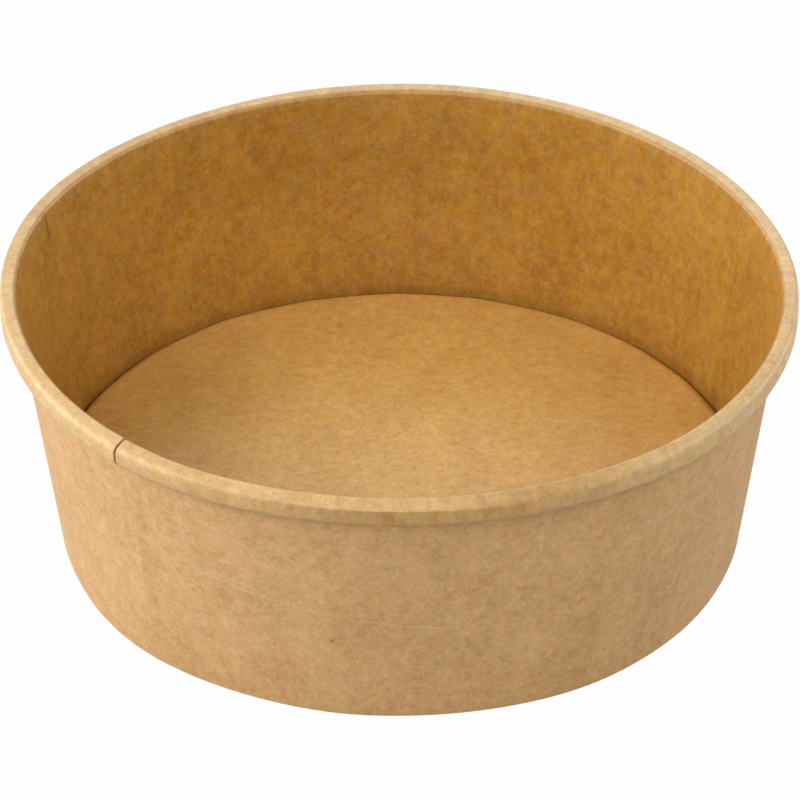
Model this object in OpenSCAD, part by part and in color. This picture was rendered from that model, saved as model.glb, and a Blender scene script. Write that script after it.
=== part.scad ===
// A round paper-board salad bowl, in millimetres, standing on z = 0 with its axis on Z.
// Two pieces of coated kraft board: a wall that is wrapped round, lapped, rolled out at the
// top and folded in at the foot, and a floor disc whose skirt is sealed inside that fold.
// The front faces -Y.

/* [Bowl] */
// Outer diameter across the rolled rim
rim_d = 184; // [176:1:210]
// Overall height
height = 65; // [50:1:100]
// Outer diameter of the foot that the bowl stands on
foot_d = 160; // [140:1:170]

/* [Board] */
// Thickness of the side wall's board
wall_t = 0.45; // [0.3:0.05:0.6]
// Thickness of the floor's board
floor_t = 0.4; // [0.3:0.05:0.6]
// Gap taken up by the seal between two layers
seal_t = 0.04; // [0.02:0.01:0.08]

/* [Rolled rim] */
// Width of the roll, from the inner face of the wall to the outside
roll_w = 3.8; // [3.5:0.1:6]
// Height of the roll
roll_h = 5.9; // [4.8:0.1:7]
// Outer radius of the crown, the bend that turns the wall over into the roll
crown_bend_r = 1; // [0.8:0.1:1.4]
// Outer radius of the shoulder, where the roll's top turns down to its outside
shoulder_bend_r = 1.2; // [0.8:0.1:1.8]
// Slope of the roll's top, in degrees, falling away to the outside
top_slope = 12; // [0:1:20]
// Outer radius of the two bends under the roll
low_bend_r = 1.3; // [1:0.1:1.6]
// Length of the cut edge that is tucked up against the wall
tuck_h = 1.6; // [0.5:0.1:2]
// Gap between the wall and the tucked edge
tuck_gap = 0.15; // [0.1:0.05:0.3]

/* [Floor and foot] */
// Height of the floor's upper face above the table
floor_h = 12; // [11:0.5:20]
// Outer radius of the bend where the floor turns down into its skirt
floor_bend_r = 2.2; // [1.5:0.1:2.5]
// Width of the soft shoulder that falls away to that bend
shoulder_w = 8; // [4:0.5:15]
// Fall of the shoulder
shoulder_drop = 0.5; // [0.2:0.1:1]
// Height of the hem, the wall's lower edge folded up inside the skirt
hem_h = 7.5; // [4:0.5:8]
// Inner radius of the two bends at the foot
fold_r = 0.06; // [0.03:0.01:0.12]
// Clearance between the skirt's cut edge and the fold under it
skirt_gap = 0.3; // [0.2:0.1:1]

/* [Side seam] */
// Direction of the inner layer's edge, in degrees from the front, positive to the right
seam_az = -43.3; // [-80:0.1:80]
// Width of the lap at the foot
lap_w = 9; // [5:0.5:12]
// Width of the open line beside the inner layer's edge
seam_line_w = 0.3; // [0.2:0.05:0.5]
// Depth of that line
seam_line_d = 0.25; // [0.1:0.05:0.25]

/* [Hidden] */
$fn = 180;
kraft_outside = [0.76, 0.60, 0.42];
kraft_inside = [0.72, 0.52, 0.30];
// Flat steps that stand for a quarter bend in a section
bend_steps = 8;
foot_r = foot_d / 2;
foot_bend_r = wall_t + fold_r;
// Middles of the two bends at the top of the roll, joined by the sloping top
crown = [rim_d / 2 - roll_w + crown_bend_r, height - crown_bend_r];
shoulder_x = rim_d / 2 - shoulder_bend_r;
top_drop = (shoulder_x - crown.x) * sin(top_slope) + shoulder_bend_r - crown_bend_r;
shoulder = [shoulder_x, crown.y - top_drop / cos(top_slope)];
// Height of the middle of the bends under the roll
low_bend_z = height - roll_h + low_bend_r;
// The wall's outer face runs from the foot's edge to touch the inside of that bend
reach = crown - [foot_r, 0];
lean = atan2(reach.x, reach.y) - asin((crown_bend_r - wall_t) / norm(reach));
// Layers at the foot: wall, seal, skirt, seal, hem
stack = 2 * wall_t + 2 * seal_t + floor_t;

// Point at height z, and at a depth measured square to the wall inwards from its outer face
function on_wall(z, depth) = [foot_r + z * tan(lean) - depth / cos(lean), z];

// Points along a bend about c, from one angle to another
function bend(c, r, from, to) =
    let (n = ceil(bend_steps * abs(to - from) / 90))
    [for (i = [0 : n]) c + r * [cos(from + (to - from) * i / n), sin(from + (to - from) * i / n)]];

// Unit vector square to the way from p to q, to its left
function left(p, q) = [p.y - q.y, q.x - p.x] / norm(q - p);

// The path moved to its left by d, mitred at each point
function beside(path, d) =
    let (last = len(path) - 1)
    [for (i = [0 : last])
        let (a = left(path[max(i - 1, 0)], path[max(i, 1)]),
             b = left(path[min(i, last - 1)], path[min(i + 1, last)]))
        path[i] + d * (a + b) / (1 + a * b)];

function reversed(path) = [for (i = [len(path) - 1 : -1 : 0]) path[i]];

// A sheet seen edge on: the area between two lines beside a path
module sheet(path, from, to) {
    polygon(concat(beside(path, to), reversed(beside(path, from))));
}

// Middle line of the hem and the fold at the foot, from the hem's cut edge to the wall
function foot_path() =
    let (r = foot_bend_r - wall_t / 2,
         inner = on_wall(foot_bend_r, stack - foot_bend_r),
         outer = on_wall(foot_bend_r, foot_bend_r))
    concat([on_wall(hem_h, stack - wall_t / 2)],
           bend(inner, r, 180 - lean, 270),
           bend(outer, r, 270, 360 - lean));

// Middle line of the roll's visible side, from the wall over the top and down to its underside
function roll_path() =
    let (half = wall_t / 2)
    concat(bend(crown, crown_bend_r - half, 180 - lean, 90 - top_slope),
           bend(shoulder, shoulder_bend_r - half, 90 - top_slope, 0),
           bend([rim_d / 2 - low_bend_r, low_bend_z], low_bend_r - half, 0, -90));

// Middle line of the roll's tucked edge, from the underside up beside the wall
function tuck_path() =
    concat(bend(on_wall(low_bend_z, -tuck_gap - low_bend_r), low_bend_r - wall_t / 2, -90, -180 - lean),
           [on_wall(low_bend_z + tuck_h, -tuck_gap - wall_t / 2)]);

// Turns a sector of a ring: starts az degrees right of the front and runs to the left
module sector(az, angle) {
    rotate([0, 0, az - 90 - angle]) rotate_extrude(angle = angle) children();
}

// The outer layer of the side seam, from the foot's bend up to the underside of the roll
module lap() {
    low_z = foot_bend_r;
    high_z = height - roll_h + wall_t / 2;
    sector(seam_az, lap_w / foot_r * 180 / PI)
        polygon([on_wall(low_z, wall_t / 2), on_wall(low_z, -wall_t),
                 on_wall(high_z, -wall_t), on_wall(high_z, wall_t / 2)]);
}

// The line beside the inner layer's edge: up the inside, over the roll and down its outside
module seam_line() {
    angle = seam_line_w / (rim_d / 2) * 180 / PI;
    sector(seam_az + angle, angle)
        sheet(concat([on_wall(floor_h, wall_t / 2)], roll_path()), wall_t / 2 - seam_line_d, wall_t);
}

// Wrapped wall, with its rolled rim and the fold and hem at the foot
module side_wall() {
    color(kraft_outside)
        difference() {
            union() {
                rotate_extrude()
                    sheet(concat(foot_path(), roll_path(), tuck_path()), -wall_t / 2, wall_t / 2);
                lap();
            }
            seam_line();
        }
}

// Raised floor, with its skirt turned down between the wall and the hem
module base_disc() {
    face = wall_t + seal_t;
    bend_z = floor_h - shoulder_drop - floor_bend_r;
    fall = atan2(shoulder_drop, shoulder_w);
    middle = on_wall(bend_z, face + floor_bend_r);
    r = floor_bend_r - floor_t / 2;
    shoulder_r = middle.x + floor_bend_r * sin(fall) - shoulder_w;
    path = concat([[0, floor_h - floor_t / 2], [shoulder_r, floor_h - floor_t / 2]],
                  bend(middle, r, 90 - fall, -lean),
                  [on_wall(wall_t + skirt_gap, face + floor_t / 2)]);
    color(kraft_inside)
        rotate_extrude() sheet(path, -floor_t / 2, floor_t / 2);
}

side_wall();
base_disc();
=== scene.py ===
import math

import bmesh
import bpy
import numpy as np
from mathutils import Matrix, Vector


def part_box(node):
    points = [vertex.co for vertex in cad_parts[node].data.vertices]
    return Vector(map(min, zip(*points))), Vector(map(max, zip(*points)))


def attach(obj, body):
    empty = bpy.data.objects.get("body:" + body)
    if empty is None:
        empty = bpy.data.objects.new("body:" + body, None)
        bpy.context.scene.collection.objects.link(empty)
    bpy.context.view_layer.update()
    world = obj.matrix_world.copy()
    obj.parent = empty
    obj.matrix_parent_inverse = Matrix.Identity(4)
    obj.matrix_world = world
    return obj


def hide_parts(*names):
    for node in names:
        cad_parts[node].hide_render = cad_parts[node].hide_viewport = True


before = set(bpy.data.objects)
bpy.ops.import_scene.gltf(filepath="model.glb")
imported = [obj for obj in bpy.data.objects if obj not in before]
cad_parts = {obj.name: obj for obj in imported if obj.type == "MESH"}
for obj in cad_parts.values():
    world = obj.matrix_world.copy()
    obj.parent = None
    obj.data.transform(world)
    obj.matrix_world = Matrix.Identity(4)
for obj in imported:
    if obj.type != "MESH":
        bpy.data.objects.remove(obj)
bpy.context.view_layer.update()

# Side wall: a fan of kraft board, clear coated inside, wrapped into a cone and sealed where
# its two ends lap. The top edge is rolled outward into a hollow rim and the lower edge is
# folded in and up as a hem, which grips the skirt of the floor. Sizes here are millimetres.
MM = 0.001
wall_low, wall_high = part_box("side_wall")
# The rim swings out of round, so its mean radius is a little under the solid's
round_spare = 0.2
rim_r = (wall_high[0] - wall_low[0]) / 2 / MM - round_spare
rim_top = wall_high[2] / MM
foot_r = 80.0
wall_t = 0.45
floor_t = 0.4
seal_t = 0.04
roll_w = 3.75
roll_h = 5.95
low_bend_r = 1.3
tuck_h = 1.6
tuck_gap = 0.15
hem_h = 7.5
foot_bend_r = 0.51
stack = 2 * wall_t + 2 * seal_t + floor_t
# The wall's outer face runs from the foot's edge to touch the inside of the crown bend
crown_bend_r = 1.0
reach = np.array([rim_r - roll_w + crown_bend_r - foot_r, rim_top - crown_bend_r])
lean = math.degrees(math.atan2(*reach)
                    - math.asin((crown_bend_r - wall_t) / np.linalg.norm(reach)))
# Mean radius of the wall, which turns azimuths into a way along the flat sheet
sheet_r = 84.0


def on_wall(z, depth):
    """The point at height z and at a depth square to the wall, inwards from its outer face."""
    slope = math.radians(lean)
    return np.array([foot_r + z * math.tan(slope) - depth / math.cos(slope), z])


def bend(middle, radius, start, stop, steps):
    """Points along a bend of the board."""
    turn = np.radians(np.linspace(start, stop, steps + 1))
    return np.column_stack([middle[0] + radius * np.cos(turn), middle[1] + radius * np.sin(turn)])


def run(start, stop, steps):
    """Points between two bends, without the ends, which the bends bring."""
    share = np.arange(1, steps)[:, None] / steps
    return np.asarray(start) * (1 - share) + np.asarray(stop) * share


def beside(path, distance):
    """The path moved to its left, mitred at each point."""
    way = np.diff(path, axis=0)
    side = np.column_stack([-way[:, 1], way[:, 0]]) / np.linalg.norm(way, axis=1)[:, None]
    before = np.vstack([side[:1], side])
    after = np.vstack([side, side[-1:]])
    square = (before + after) / (1 + (before * after).sum(1))[:, None]
    return path + square * np.asarray(distance).reshape(-1, 1)


def swell(azimuth, middle, width):
    """1 at the middle azimuth, falling smoothly to 0 some widths away, in degrees."""
    off = (azimuth - middle + 180) % 360 - 180
    return math.exp(-((off / width) ** 2))


def swells(azimuth, bulges):
    """Sum of swells round the bowl: (height, middle, width in degrees) each."""
    return sum(h * swell(azimuth, middle, width) for h, middle, width in bulges)


def ripple(azimuth, waves):
    """Sum of slow waves round the rim: (height, cycles, phase in degrees) each."""
    return sum(h * math.sin(math.radians(n * azimuth + p)) for h, n, p in waves)


# Azimuths are degrees from the front, positive to the right, seen from above the front
seam_az = -43.3
lap_deg = 6.4
seam_crack_deg = 0.32
seam_ramp_deg = 2.0
crease_az = -110.5
# The rolling tools leave the rim out of round, and folding and sealing presses the foot
rim_waves = ((0.416, 1, 150), (0.287, 2, -43), (0.163, 3, -50), (0.261, 4, -176),
             (0.266, 5, -84), (0.05, 9, 40), (0.035, 14, 200))
rim_bulges = ((0.3, 130, 26), (0.3, -130, 26), (0.2, -46, 18))
foot_bulges = ((0.45, -47, 12), (0.25, -10, 8), (0.55, 31, 13), (-0.4, -72, 10), (-0.35, 70, 10))
fade_power = 1.3
# The roll is round at the sides, and pressed to a crisp outer corner at the front
outer_bulges = ((1.75, -45, 28), (1.5, 34, 24), (0.7, 68, 18), (0.4, -80, 14), (-0.5, 0, 8))
low_bulges = ((-0.4, 4, 26), (0.6, -48, 24))
tuck_bulges = ((-0.4, -48, 24),)
drop_bulges = ((0.78, 0, 13),)
depth_bulges = ((0.3, -50, 16), (0.3, 50, 16))
width_bulges = ((0.2, -46, 18),)


def out_of_round(azimuth, heights):
    """How far the board swings out at each height: the wall takes up both rim and foot."""
    share = np.clip(heights / rim_top, 0, 1)
    return ((ripple(azimuth, rim_waves) + swells(azimuth, rim_bulges)) * share ** fade_power
            + swells(azimuth, foot_bulges) * (1 - share) ** fade_power)


# Heights of the points up the wall, closest together where the floor meets it
wall_marks = [3, 6, 9, 11, 12, 12.7, 13.4, 14.2, 15.2, 16.5, 18.5] + list(range(21, 62, 3))
# Steps along the other parts of the outline
hem_steps = 6
fold_steps = 5
bend_steps = 9
side_steps = 5
under_steps = 7


def rim_path(azimuth):
    """Middle line of the board at one azimuth, from the hem's cut edge to the tucked edge."""
    front = math.cos(math.radians(azimuth))
    half = wall_t / 2
    crown_r = crown_bend_r - 0.2 * front
    outer_r = 0.65 + swells(azimuth, outer_bulges)
    low_r = low_bend_r + 0.4 + swells(azimuth, low_bulges)
    tuck_r = low_bend_r + swells(azimuth, tuck_bulges)
    drop = (0.12 + 0.25 * front + swells(azimuth, drop_bulges)
            + 0.04 * math.sin(math.radians(7 * azimuth)))
    depth = roll_h + swells(azimuth, depth_bulges)
    width = roll_w + swells(azimuth, width_bulges)
    crown = np.array([rim_r - width + crown_r, rim_top - crown_r])
    shoulder = np.array([rim_r - outer_r, rim_top - drop - outer_r])
    way = shoulder - crown
    square = math.degrees(math.atan2(way[1], way[0])
                          + math.acos((crown_r - outer_r) / np.linalg.norm(way)))
    low_z = rim_top - depth + low_r
    fold_r = foot_bend_r - half
    hem = bend(on_wall(foot_bend_r, stack - foot_bend_r), fold_r, 180 - lean, 270, fold_steps)
    fold = bend(on_wall(foot_bend_r, foot_bend_r), fold_r, 270, 360 - lean, fold_steps)
    over = bend(crown, crown_r - half, 180 - lean, square, bend_steps)
    down = bend(shoulder, outer_r - half, square, 0, bend_steps)
    under = bend((rim_r - low_r, low_z), low_r - half, 0, -90, under_steps)
    tuck = bend(on_wall(low_z, -tuck_gap - tuck_r), tuck_r - half, -90, -180 - lean, 8)
    tuck[:, 1] += tuck_r - low_r
    hem_end = on_wall(hem_h, stack - half)
    tuck_end = on_wall(tuck[-1][1] + tuck_h, -tuck_gap - half)
    return np.vstack([
        hem_end, run(hem_end, hem[0], hem_steps), hem, fold,
        [on_wall(z, half) for z in wall_marks], over, run(over[-1], down[0], side_steps), down,
        run(down[-1], under[0], side_steps), under, run(under[-1], tuck[0], 3), tuck,
        run(tuck[-1], tuck_end, 2), tuck_end,
    ])


# First points of the wall, of the crown bend and of the tucked edge on that line
wall_start = hem_steps + 2 * (fold_steps + 1)
crown_start = wall_start + len(wall_marks)
roll_points = 2 * (bend_steps + 1) + 2 * (side_steps - 1) + under_steps + 1
tuck_start = crown_start + roll_points
crack_depth = 0.40
crack_rise = 0.10
ramp_rise = 0.06


def rim_faces(azimuth):
    """Closed outline of the board at one azimuth: its inner face, then its outer face."""
    path = rim_path(azimuth)
    spot = np.arange(len(path))
    on_inside = (spot >= wall_start) & (spot < tuck_start)
    past = (azimuth - seam_az) % 360
    before = 360 - past
    ramp = 1 - past / seam_ramp_deg
    inner = np.full(len(path), wall_t / 2)
    outer = np.full(len(path), -wall_t / 2)
    # The inner layer ends at the seam, with an open crack beside its edge
    if before < lap_deg:
        inner[crown_start:tuck_start] += crack_rise * (1 - before / lap_deg)
    if past < seam_crack_deg:
        inner[on_inside] -= crack_depth
    elif past < seam_ramp_deg:
        inner[on_inside] -= ramp_rise * ramp
    # The outer layer lies over it, ends square at the lap's left and ramps down at its right
    lap = 1.0 if before < lap_deg else max(0.0, ramp)
    height = path[:, 1]
    low_fade = np.clip((height - 0.8) / 1.0, 0, 1)
    high_fade = np.clip((rim_top - roll_h - 0.6 - height) / 0.6, 0, 1)
    on_plain_wall = (spot >= wall_start) & (spot < crown_start)
    outer -= wall_t * lap * low_fade * high_fade * on_plain_wall
    # The crease at the back left is pressed into the roll and fades down the inside
    dent = 0.2 * swell(azimuth, crease_az, 0.4) - 0.12 * swell(azimuth, crease_az + 1.2, 1.0)
    fade = np.where(spot < crown_start, np.clip((height - 54) / 6, 0, 1), 0.5)
    inner -= dent * fade * on_inside
    loop = np.vstack([beside(path, inner), beside(path, outer)[::-1]])
    loop[:, 0] += out_of_round(azimuth, loop[:, 1])
    return path, loop


# Columns start at the seam, are even round the bowl and crowd where seam and crease need them
column_step = 0.8
sharp_deg = 0.02
least_deg = 0.015
lap_az = seam_az + 360 - lap_deg
columns = list(np.arange(seam_az + column_step, seam_az + 360, column_step))
columns += [seam_az + sharp_deg, seam_az + 360 - sharp_deg, lap_az - sharp_deg,
            lap_az + sharp_deg, seam_az + seam_crack_deg - sharp_deg,
            seam_az + seam_crack_deg + sharp_deg, seam_az + seam_ramp_deg]
columns += [crease_az + 360 + step for step in
            (-0.9, -0.6, -0.4, -0.25, -0.12, 0, 0.12, 0.25, 0.4, 0.6, 0.9, 1.2, 1.5, 2, 2.5)]
columns = sorted(columns)
columns = [a for i, a in enumerate(columns) if i == 0 or a - columns[i - 1] > least_deg]


def swept(name, rows, around, along, finishes, stretch_and_highlight, shade):
    """Mesh of closed outlines set side by side round the axis, in metres.

    rows holds an outline for each azimuth in around. along is the way down the sheet of each
    outline point, and finishes the material of each outline segment. The corner attribute
    sheet carries the place on the flat sheet in millimetres, and shade how far the face is
    darkened by painted shade where two boards meet, in the crease and in the seam's crack.
    One more carries how far the face is painted paler where it is rolled, partly for the
    stretched board and partly as painted highlight.
    """
    count = len(rows[0])
    total = len(rows)
    points = [
        np.column_stack([row[:, 0] * math.sin(a), -row[:, 0] * math.cos(a), row[:, 1]])
        for row, a in zip(rows, np.radians(around))
    ]
    faces, places, kinds, stretch_and_highlight_shares, darks = [], [], [], [], []
    for i in range(total):
        j = (i + 1) % total
        near = math.radians(around[i]) * sheet_r
        far = math.radians(around[j] + (360 if j == 0 else 0)) * sheet_r
        for k in range(count):
            m = (k + 1) % count
            faces.append((i * count + k, j * count + k, j * count + m, i * count + m))
            places += [(near, along[k], 0.0), (far, along[k], 0.0),
                       (far, along[k + 1], 0.0), (near, along[k + 1], 0.0)]
            stretch_and_highlight_shares += [stretch_and_highlight[i][k], stretch_and_highlight[j][k], stretch_and_highlight[j][m], stretch_and_highlight[i][m]]
            darks += [shade[i][k], shade[j][k], shade[j][m], shade[i][m]]
            kinds.append(finishes[k])
    mesh = bpy.data.meshes.new(name)
    mesh.from_pydata((np.vstack(points) * MM).tolist(), [], faces)
    sheet = mesh.attributes.new("sheet", "FLOAT_VECTOR", "CORNER")
    sheet.data.foreach_set("vector", np.array(places, dtype=np.float32).ravel())
    mesh.attributes.new("stretch_and_highlight", "FLOAT", "CORNER").data.foreach_set("value", stretch_and_highlight_shares)
    mesh.attributes.new("shade", "FLOAT", "CORNER").data.foreach_set("value", darks)
    mesh.polygons.foreach_set("material_index", kinds)
    mesh.shade_smooth()
    mesh.set_sharp_from_angle(angle=math.radians(38))
    mesh.update()
    piece = bpy.data.objects.new(name, mesh)
    bpy.context.scene.collection.objects.link(piece)
    return piece


def turn_out(piece, weld=0.0):
    """Turns the faces of a closed mesh to look out of the board, and welds points so near."""
    work = bmesh.new()
    work.from_mesh(piece.data)
    if weld:
        bmesh.ops.remove_doubles(work, verts=work.verts, dist=weld)
    bmesh.ops.recalc_face_normals(work, faces=work.faces)
    work.to_mesh(piece.data)
    work.free()


outlines = [rim_faces(a) for a in columns]
middle_line = outlines[0][0]
length = np.concatenate([[0], np.cumsum(np.linalg.norm(np.diff(middle_line, axis=0), axis=1))])
half = len(middle_line)
# The outer face's pattern lies apart from the inner face's on the texture
face_gap = 400.0
along = np.concatenate([length, length[::-1] + face_gap, [face_gap]])
# Materials by number: coated face, plain face, cut edge
finishes = [0] * (half - 1) + [2] + [1] * (half - 1) + [2]
roll_spots = np.arange(roll_points)
# Where it is rolled the board's face is painted paler, partly for the stretch and partly as
# painted highlight: most on the outside where the roll is round, less on its front face at
# the front, and less round the right front, the back left and the back
full_dips = ((0.5, 22, 13), (0.5, -128, 26), (0.22, 180, 45))
stretch_and_highlight = np.zeros((len(columns), 2 * half))
for row, a in zip(stretch_and_highlight, columns):
    flat = swell(a, 4, 30)
    full = 1 - swells(a, full_dips)
    row[crown_start:tuck_start] = np.interp(
        roll_spots, (0, 4, 9, 15, 24, 36),
        (0.05, 0.3, full, full, 1 - 0.55 * flat, 1 - 0.6 * flat))
# Painted shade: the inside darkens where it meets the floor and in the creased slit at the back
# left, the roll darkens over the slit, and the whole roll darkens in the seam's crack
meeting_z = 12.8
meeting_shade = 0.14
crack_shade = 0.6
shade = np.zeros((len(columns), 2 * half))
for row, a in zip(shade, columns):
    height = middle_line[:crown_start, 1]
    meeting = meeting_shade * np.exp(-(np.clip(height - meeting_z, 0, None) / 1.6))
    slit = 0.75 * swell(a, crease_az, 0.3) * np.clip((height - 56) / 4, 0, 1)
    row[:crown_start] = meeting + slit
    row[crown_start:tuck_start] = (np.interp(roll_spots, (0, 8), (0.5, 0.08))
                                   * swell(a, crease_az, 0.25))
    # Painted shade in the seam's crack, over the whole roll
    if 0 < a - seam_az < seam_crack_deg:
        row[crown_start:tuck_start] = crack_shade
side_wall = swept("side_wall_board", [loop for _, loop in outlines], columns, along, finishes,
                  stretch_and_highlight, shade)
turn_out(side_wall)


def tone(red, green, blue):
    """A colour as a painter's 0 to 255 values, turned to linear light."""
    shares = [v / 255 for v in (red, green, blue)]
    linear = [v / 12.92 if v <= 0.04045 else ((v + 0.055) / 1.055) ** 2.4 for v in shares]
    return (*linear, 1.0)


def wire(tree, kind, settings=(), **inputs):
    """Adds a node, sets its options, and links or sets its inputs, named as on the node."""
    made = tree.nodes.new(kind)
    for key, value in dict(settings).items():
        setattr(made, key, value)
    for key, value in inputs.items():
        label = key.replace("_", " ")
        numbered = label[0] == "i" and label[1:].isdigit()
        socket = made.inputs[int(label[1:]) if numbered else label]
        if isinstance(value, bpy.types.NodeSocket):
            tree.links.new(value, socket)
        else:
            socket.default_value = value
    return made


def maths(tree, operation, *values):
    """One step of arithmetic on numbers and sockets."""
    inputs = {f"i{k}": value for k, value in enumerate(values)}
    return wire(tree, "ShaderNodeMath", {"operation": operation}, **inputs).outputs[0]


def fibre_noise(tree, place, size, detail, offset, fine=0.55):
    """Soft fibre clumps of a size (across, along the grain) in millimetres, from 0 to 1."""
    scaled = wire(tree, "ShaderNodeVectorMath", {"operation": "MULTIPLY_ADD"},
                  i0=place, i1=(1 / size[0], 1 / size[1], 1 / size[0]), i2=offset)
    return wire(tree, "ShaderNodeTexNoise", Vector=scaled.outputs[0], Scale=1.0,
                Detail=detail, Roughness=fine).outputs["Fac"]


def spread(tree, value, low, high, start, stop):
    """Carries a noise value from low..high to start..stop, and no further."""
    return wire(tree, "ShaderNodeMapRange", {"clamp": True}, Value=value, From_Min=low,
                From_Max=high, To_Min=start, To_Max=stop).outputs[0]


def blended(tree, share, one, other, way="MIX"):
    """One colour laid over another."""
    return wire(tree, "ShaderNodeMix", {"data_type": "RGBA", "blend_type": way},
                i0=share, i6=one, i7=other).outputs[2]


rubbed_pale = tone(250, 226, 190)
fleck_brown = tone(60, 34, 12)
# The deep brown of painted shade in joints, creases and cracks
painted_shade_brown = tone(70, 40, 14)
scuff_share = 0.13


def scuffed(tree, place, colour, line):
    """A faint scuff where a nested bowl has rubbed: a thin bowed line, broken by the fibres.

    line is the middle's place on the sheet, the half length, the slope and the bow.
    """
    x0, y0, half_length, slope, bow = line
    parts = wire(tree, "ShaderNodeSeparateXYZ", Vector=place)
    run_x = maths(tree, "SUBTRACT", parts.outputs[0], x0)
    bent = maths(tree, "MULTIPLY_ADD", run_x, bow, slope)
    way = maths(tree, "MULTIPLY_ADD", run_x, bent, y0)
    off = maths(tree, "ABSOLUTE", maths(tree, "SUBTRACT", parts.outputs[1], way))
    far = maths(tree, "ABSOLUTE", run_x)
    near = maths(tree, "MULTIPLY", spread(tree, off, 0.1, 0.55, scuff_share, 0.0),
                 spread(tree, far, 0.6 * half_length, half_length, 1.0, 0.0))
    fibres = fibre_noise(tree, place, (6.0, 0.6), 2.0, (5.0, 5.0, 0.0))
    near = maths(tree, "MULTIPLY", near, spread(tree, fibres, 0.4, 0.6, 0.2, 1.0))
    return blended(tree, near, colour, rubbed_pale)


def kraft_finish(name, tones, strand, rough, grain, hue_drift, bump_mm, stretched_and_lit=None,
                 flat_sheet=False, fuzz=0.0, flecks=(), scuffs=()):
    """Kraft board: clumped fibres, drifting hue and a few stray fibres, under a soft sheen.

    tones is the darker and the lighter colour of the fibre clumps. A second, paler pair is for
    the face where it is rolled: partly the stretched board and partly painted highlight. grain
    is the size of a clump across and along the sheet, in millimetres.
    """
    made = bpy.data.materials.new(name)
    made.use_nodes = True
    tree = made.node_tree
    shader = tree.nodes["Principled BSDF"]
    shader.inputs["Specular IOR Level"].default_value = 0.2 if fuzz else 0.5
    shader.inputs["Sheen Weight"].default_value = fuzz
    shader.inputs["Sheen Roughness"].default_value = 0.4
    if flat_sheet:
        spot = wire(tree, "ShaderNodeTexCoord").outputs["Object"]
        place = wire(tree, "ShaderNodeVectorMath", {"operation": "MULTIPLY"},
                     i0=spot, i1=(1 / MM, 1 / MM, 0.0)).outputs[0]
    else:
        place = wire(tree, "ShaderNodeAttribute", {"attribute_name": "sheet"}).outputs["Vector"]
    across, down = grain
    clumps = fibre_noise(tree, place, (across, down), 4.0, (3.1, 8.2, 0.0), 1.0)
    clouds = fibre_noise(tree, place, (4.0 * across, 6.0 * down), 2.0, (17.0, 2.0, 0.0))
    specks = fibre_noise(tree, place, (0.3, 0.4), 1.0, (41.0, 33.0, 0.0))
    drift = fibre_noise(tree, place, (0.8 * across, 0.9 * down), 3.0, (7.0, 71.0, 0.0), 0.7)
    depth = fibre_noise(tree, place, (0.9 * across, 1.0 * down), 3.0, (57.0, 19.0, 0.0), 0.7)
    strands = fibre_noise(tree, place, (0.22, 1.8), 1.0, (90.0, 12.0, 0.0))
    # Clouds make up a quarter of the light and dark, and clumps the rest
    tint = maths(tree, "MULTIPLY_ADD", clumps, 0.75, maths(tree, "MULTIPLY", clouds, 0.25))
    blend = spread(tree, tint, 0.38, 0.62, 0.0, 1.0)
    colour = blended(tree, blend, tones[0], tones[1])
    # The rolled face takes the paler pair: partly the stretched board, partly painted highlight
    if stretched_and_lit:
        stretch_and_highlight_share = wire(tree, "ShaderNodeAttribute", {"attribute_name": "stretch_and_highlight"}).outputs["Fac"]
        colour = blended(tree, stretch_and_highlight_share, colour, blended(tree, blend, stretched_and_lit[0], stretched_and_lit[1]))
    # The hue wanders a little between pink and straw
    hue = spread(tree, drift, 0.35, 0.65, 0.5 - hue_drift, 0.5 + hue_drift)
    rich = spread(tree, depth, 0.35, 0.65, 1 - 4.5 * hue_drift, 1 + 4.5 * hue_drift)
    colour = wire(tree, "ShaderNodeHueSaturation", Hue=hue, Saturation=rich, Value=1.0, Fac=1.0,
                  Color=colour).outputs[0]
    speckle = spread(tree, specks, 0.25, 0.75, 0.945, 1.055)
    colour = blended(tree, 1.0, colour, speckle, "MULTIPLY")
    colour = blended(tree, spread(tree, strands, 0.70, 0.78, 0.0, 0.12), colour, strand)
    for x, y, radius, share in flecks:
        gap = wire(tree, "ShaderNodeVectorMath", {"operation": "DISTANCE"},
                   i0=place, i1=(x, y, 0.0)).outputs["Value"]
        dark = spread(tree, gap, 0.4 * radius, radius, share, 0.0)
        colour = blended(tree, dark, colour, fleck_brown)
    for line in scuffs:
        colour = scuffed(tree, place, colour, line)
    # Painted shade: the face darkens towards deep brown where the shade attribute is set
    painted_shade = wire(tree, "ShaderNodeAttribute", {"attribute_name": "shade"}).outputs["Fac"]
    colour = blended(tree, painted_shade, colour, painted_shade_brown)
    tree.links.new(colour, shader.inputs["Base Color"])
    dull = spread(tree, clumps, 0.3, 0.7, rough + 0.05, rough - 0.05)
    tree.links.new(dull, shader.inputs["Roughness"])
    relief = maths(tree, "MULTIPLY_ADD", specks, 0.35, clumps)
    raised = wire(tree, "ShaderNodeBump", Strength=1.0, Distance=bump_mm * MM, Height=relief)
    tree.links.new(raised.outputs[0], shader.inputs["Normal"])
    return made


def on_sheet(azimuth, z, outside):
    """The place on the flat sheet of a spot on the wall."""
    down = np.interp(z, middle_line[wall_start:crown_start, 1], length[wall_start:crown_start])
    return math.radians(azimuth) * sheet_r, float(down) + (face_gap if outside else 0.0)


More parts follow.
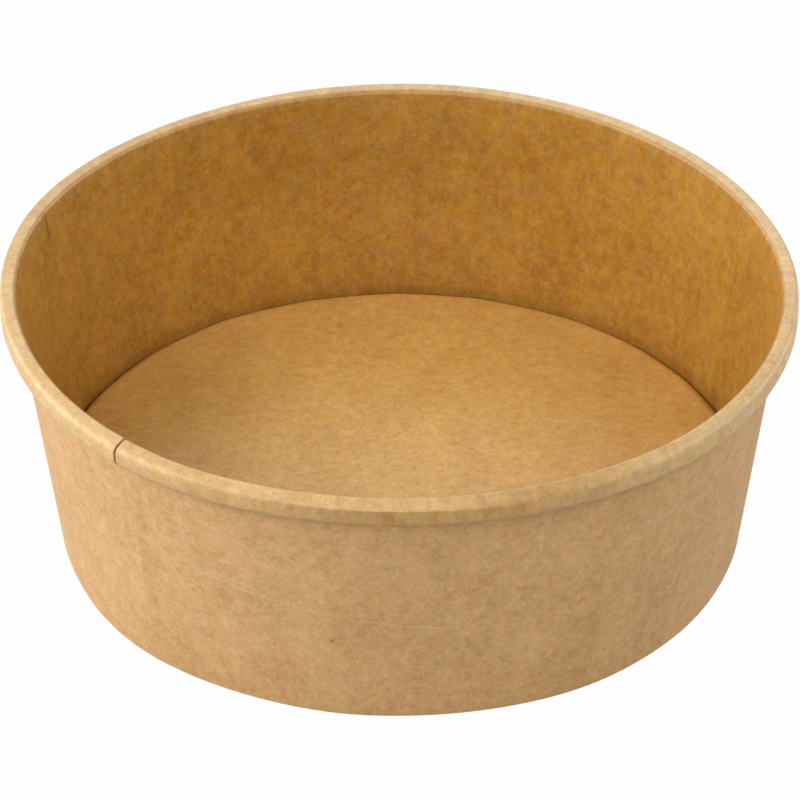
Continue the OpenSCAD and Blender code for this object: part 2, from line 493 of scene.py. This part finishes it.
# Faint scuffs and a few dark flecks, as on any board that has been stacked and handled
inner_flecks = [(*on_sheet(a, z, False), radius, share) for a, z, radius, share in
                ((190.6, 27.2, 0.35, 0.6), (157.6, 21.7, 0.3, 0.5), (204.0, 44.0, 0.3, 0.35))]
outer_flecks = [(*on_sheet(a, z, True), radius, share) for a, z, radius, share in
                ((-10.5, 22.1, 0.4, 0.7), (14.0, 41.0, 0.25, 0.35))]
outer_scuffs = [(*on_sheet(a, z, True), reach_mm, slope, bow) for a, z, reach_mm, slope, bow in
                ((-5.0, 28.5, 56.0, -0.13, 0.0006), (-29.3, 34.2, 14.0, -0.22, 0.0),
                 (-28.5, 35.4, 11.0, -0.22, 0.0))]
# The inside wall takes darker, deeper tones than the floor of the same coated board: painted
# shade of the bowl's inside
coated_kraft = kraft_finish("coated kraft inside", tones=(tone(152, 103, 31), tone(188, 140, 56)),
                            # Paler pair for the roll: partly the stretched board, partly painted
                            # highlight
                            stretched_and_lit=(tone(196, 155, 97), tone(224, 189, 132)),
                            strand=tone(120, 78, 34), rough=0.45, grain=(3.2, 4.0),
                            hue_drift=0.009, bump_mm=0.004, flecks=inner_flecks)
plain_kraft = kraft_finish("plain kraft outside", tones=(tone(197, 153, 98), tone(227, 183, 128)),
                           strand=tone(128, 92, 54), rough=0.8, grain=(3.0, 3.2),
                           hue_drift=0.009, bump_mm=0.006, fuzz=0.12, flecks=outer_flecks,
                           scuffs=outer_scuffs)
cut_edge = kraft_finish("cut edge of the board", tones=(tone(168, 120, 70), tone(208, 164, 112)),
                        strand=tone(120, 84, 48), rough=0.9, grain=(0.5, 0.5), hue_drift=0.008,
                        bump_mm=0.03)
for finish in (coated_kraft, plain_kraft, cut_edge):
    side_wall.data.materials.append(finish)
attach(side_wall, "root")
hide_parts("side_wall")

# Floor disc: stamped from the same board, its edge bent down into a skirt that is sealed
# between the wall and the hem. Stamping leaves a soft shoulder round the edge, faint waves
# in the plate, and soft corners where the skirt was gathered.
floor_h = 13.0
floor_bend_r = 2.8
shoulder_w = 8.0
shoulder_drop = 0.3
skirt_gap = 0.3
plate_steps = 20
shoulder_steps = 6
edge_steps = 10
# Azimuths of the corners in the floor's edge, and how far the edge lies in between two
gather_az = (-180, -164, -147, -131, -113, -97, -80, -62, -45, -28, -11, 7, 24, 41, 57, 74, 90,
             106, 121, 136, 147, 166, 180)
gather_depth = 0.55


def gather(azimuth):
    """How far the edge lies in from its corners: nothing at one, most halfway to the next."""
    k = int(np.searchsorted(gather_az, azimuth, side="right")) - 1
    k = min(max(k, 0), len(gather_az) - 2)
    share = (azimuth - gather_az[k]) / (gather_az[k + 1] - gather_az[k])
    return gather_depth * 4 * share * (1 - share)


def disc_path(azimuth):
    """Middle line of the disc at one azimuth, from the axis to the skirt's cut edge."""
    face = wall_t + seal_t
    fall = math.degrees(math.atan2(shoulder_drop, shoulder_w))
    middle = on_wall(floor_h - shoulder_drop - floor_bend_r, face + floor_bend_r)
    edge = bend(middle, floor_bend_r - floor_t / 2, 90 - fall, -lean, edge_steps)
    edge[:, 0] -= gather(azimuth) * np.linspace(0.8, 0, len(edge))
    plate = (edge[0][0] - shoulder_w, floor_h - floor_t / 2)
    start = (0.0, floor_h - floor_t / 2)
    end = on_wall(wall_t + skirt_gap, face + floor_t / 2)
    shoulder = run(plate, edge[0], shoulder_steps)
    return np.vstack([start, run(start, plate, plate_steps), plate, shoulder, edge,
                      run(edge[-1], end, 5), end])


def disc_faces(azimuth):
    """Closed outline of the disc at one azimuth, with the plate's faint waves."""
    path = disc_path(azimuth)
    face = np.full(len(path), floor_t / 2)
    loop = np.vstack([beside(path, face), beside(path, -face)[::-1]])
    radius = loop[:, 0].copy()
    x = radius * math.sin(math.radians(azimuth))
    y = -radius * math.cos(math.radians(azimuth))
    # The waves and a faint dome belong to the plate, and fade out down the edge's bend
    plate_share = np.clip((loop[:, 1] - floor_h + 2.4) / 1.6, 0, 1)
    wave = (0.14 * np.sin(x / 17 + 0.8) * np.cos(y / 21 - 0.4) + 0.10 * np.sin((x + y) / 11)
            - 0.16 * (radius / 72) ** 2)
    loop[:, 1] += wave * plate_share
    # The edge follows the wall out of round, and the middle stays put
    loop[:, 0] += out_of_round(azimuth, loop[:, 1]) * np.clip((radius - 40) / 36, 0, 1)
    return path, loop


disc_columns = list(np.arange(-180, 180, 1.25))
disc_outlines = [disc_faces(a) for a in disc_columns]
disc_line = disc_outlines[0][0]
disc_length = np.concatenate([[0], np.cumsum(np.linalg.norm(np.diff(disc_line, axis=0), axis=1))])
disc_half = len(disc_line)
disc_along = np.concatenate([disc_length, disc_length[::-1] + face_gap, [face_gap]])
disc_finishes = [0] * (disc_half - 1) + [2] + [1] * (disc_half - 1) + [0]
# Painted shade: the face darkens down the bend, where it goes out of sight beside the wall
dark_start = plate_steps + shoulder_steps + 2
disc_shade = np.zeros((len(disc_columns), 2 * disc_half))
disc_shade[:, dark_start:disc_half] = np.interp(
    np.arange(disc_half - dark_start), (0, 3, 8), (0, 0.05, 0.3))
base_disc = swept("base_disc_board", [loop for _, loop in disc_outlines], disc_columns,
                  disc_along, disc_finishes, np.zeros_like(disc_shade), disc_shade)
turn_out(base_disc, weld=0.01 * MM)
# The floor takes lighter tones than the inside wall of the same board, whose darker tones are
# painted shade
floor_kraft = kraft_finish("coated kraft floor", tones=(tone(209, 157, 78), tone(238, 189, 105)),
                           strand=tone(130, 86, 40), rough=0.5, grain=(3.0, 3.0),
                           hue_drift=0.009, bump_mm=0.004, flat_sheet=True,
                           flecks=((27.1, 4.8, 0.35, 0.4), (18.2, 46.6, 0.3, 0.35)))
for finish in (floor_kraft, plain_kraft, cut_edge):
    base_disc.data.materials.append(finish)
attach(base_disc, "root")
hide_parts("base_disc")

# Camera: a long lens, looking down on the bowl from the front at the photograph's angle.
# It stands fourteen rim radii from the middle of the rim.
camera_distance = 1.295
camera_elevation = math.radians(32.15)
camera_pitch = math.radians(33.24)
rim_middle = 0.0621
lens = bpy.data.cameras.new("photo lens")
lens.sensor_width = 36.0
lens.lens = 252.5
lens.clip_start = 0.05
lens.clip_end = 20.0
lens.shift_x = -0.0008
camera = bpy.data.objects.new("photo camera", lens)
camera.location = (0.0, -camera_distance * math.cos(camera_elevation),
                   rim_middle + camera_distance * math.sin(camera_elevation))
camera.rotation_euler = (math.pi / 2 - camera_pitch, 0.0, 0.0)
bpy.context.scene.collection.objects.link(camera)
bpy.context.scene.camera = camera

# Studio: a floor and a room that look white and hardly light the bowl, and eight soft boxes
# round it, the strongest of them at the left and in front.
floor_reach = 3.0
floor_grey = 0.35
floor_glow = 0.98
room_glow = 0.005


def looked_at(tree):
    """1 where the camera, a reflection or a refraction looks at the background, otherwise 0."""
    rays = wire(tree, "ShaderNodeLightPath")
    seen = maths(tree, "MAXIMUM", rays.outputs["Is Camera Ray"], rays.outputs["Is Glossy Ray"])
    return maths(tree, "MAXIMUM", seen, rays.outputs["Is Transmission Ray"])


floor_mesh = bpy.data.meshes.new("studio floor")
floor_mesh.from_pydata([(x * floor_reach, y * floor_reach, 0) for x, y in
                        ((-1, -1), (1, -1), (1, 1), (-1, 1))], [], [(0, 1, 2, 3)])
studio_floor = bpy.data.objects.new("studio floor", floor_mesh)
bpy.context.scene.collection.objects.link(studio_floor)
floor_paint = bpy.data.materials.new("white floor")
floor_paint.use_nodes = True
tree = floor_paint.node_tree
paint = tree.nodes["Principled BSDF"]
paint.inputs["Base Color"].default_value = (floor_grey, floor_grey, floor_grey, 1)
paint.inputs["Roughness"].default_value = 0.9
white = wire(tree, "ShaderNodeEmission", Color=(1, 1, 1, 1), Strength=1.0)
mixed = wire(tree, "ShaderNodeMixShader", i0=maths(tree, "MULTIPLY", looked_at(tree), floor_glow),
             i1=paint.outputs[0], i2=white.outputs[0])
tree.links.new(mixed.outputs[0], tree.nodes["Material Output"].inputs["Surface"])
studio_floor.data.materials.append(floor_paint)

world = bpy.data.worlds.new("white room")
world.use_nodes = True
tree = world.node_tree
room = tree.nodes["Background"]
room.inputs["Color"].default_value = (1.0, 1.0, 1.0, 1)
level = spread(tree, looked_at(tree), 0.0, 1.0, room_glow, 1.0)
tree.links.new(level, room.inputs["Strength"])
bpy.context.scene.world = world

box_size = 0.8
aim_height = 0.03
# Each soft box: its name, where it stands in metres, and its power in watts
soft_boxes = (
    ("back soft box", (0.0, 1.42, 1.11), 7.8),
    ("back left soft box", (-1.51, 0.87, 0.44), 8.8),
    ("left soft box", (-1.75, 0.0, 0.44), 10.6),
    ("high left soft box", (-1.4, -0.25, 1.11), 12.4),
    ("front left soft box", (-0.91, -1.09, 1.11), 6.4),
    ("front soft box", (0.0, -1.59, 0.85), 12.0),
    ("right soft box", (1.4, -0.25, 1.11), 10.1),
    ("back right soft box", (1.51, 0.87, 0.44), 9.4),
)
for name, place, power in soft_boxes:
    lamp = bpy.data.lights.new(name, "AREA")
    lamp.shape = "SQUARE"
    lamp.size = box_size
    lamp.energy = power
    holder = bpy.data.objects.new(name, lamp)
    holder.location = place
    x, y, z = place
    holder.rotation_euler = (math.atan2(math.hypot(x, y), z - aim_height), 0.0,
                             math.atan2(y, x) + math.pi / 2)
    bpy.context.scene.collection.objects.link(holder)
bpy.context.scene.view_settings.view_transform = "Standard"
